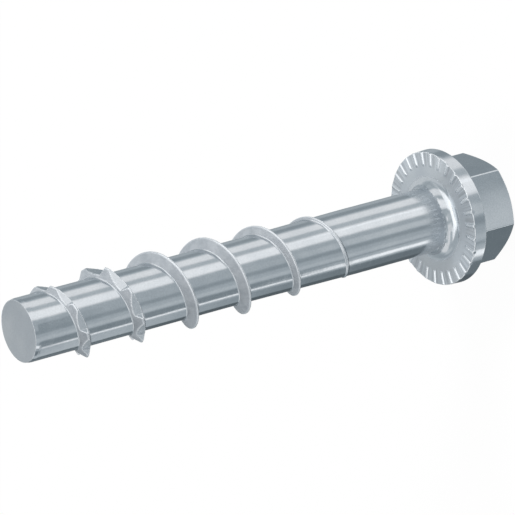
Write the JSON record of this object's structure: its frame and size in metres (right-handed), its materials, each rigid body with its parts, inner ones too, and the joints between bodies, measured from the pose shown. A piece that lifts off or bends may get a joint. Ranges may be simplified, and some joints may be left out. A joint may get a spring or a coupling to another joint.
{
  "type": "concrete screw",
  "caption": "Self-tapping screw for concrete: hexagon head on a ribbed flange, plain shank and a coarse thread with cutting teeth behind a blunt tip.",
  "frame": {"origin": "centre of the flat end of the hexagon head, on which the screw stands", "axes": "+Z along the axis from the head to the tip; +X and -X square to two flats of the hexagon"},
  "size_m": [0.0212, 0.0212, 0.0852],
  "materials": {
    "zinc_steel": "bluish zinc plating, satin"
  },
  "bodies": {
    "root": {"concrete_screw": "zinc_steel"}
  },
  "joints": []
}
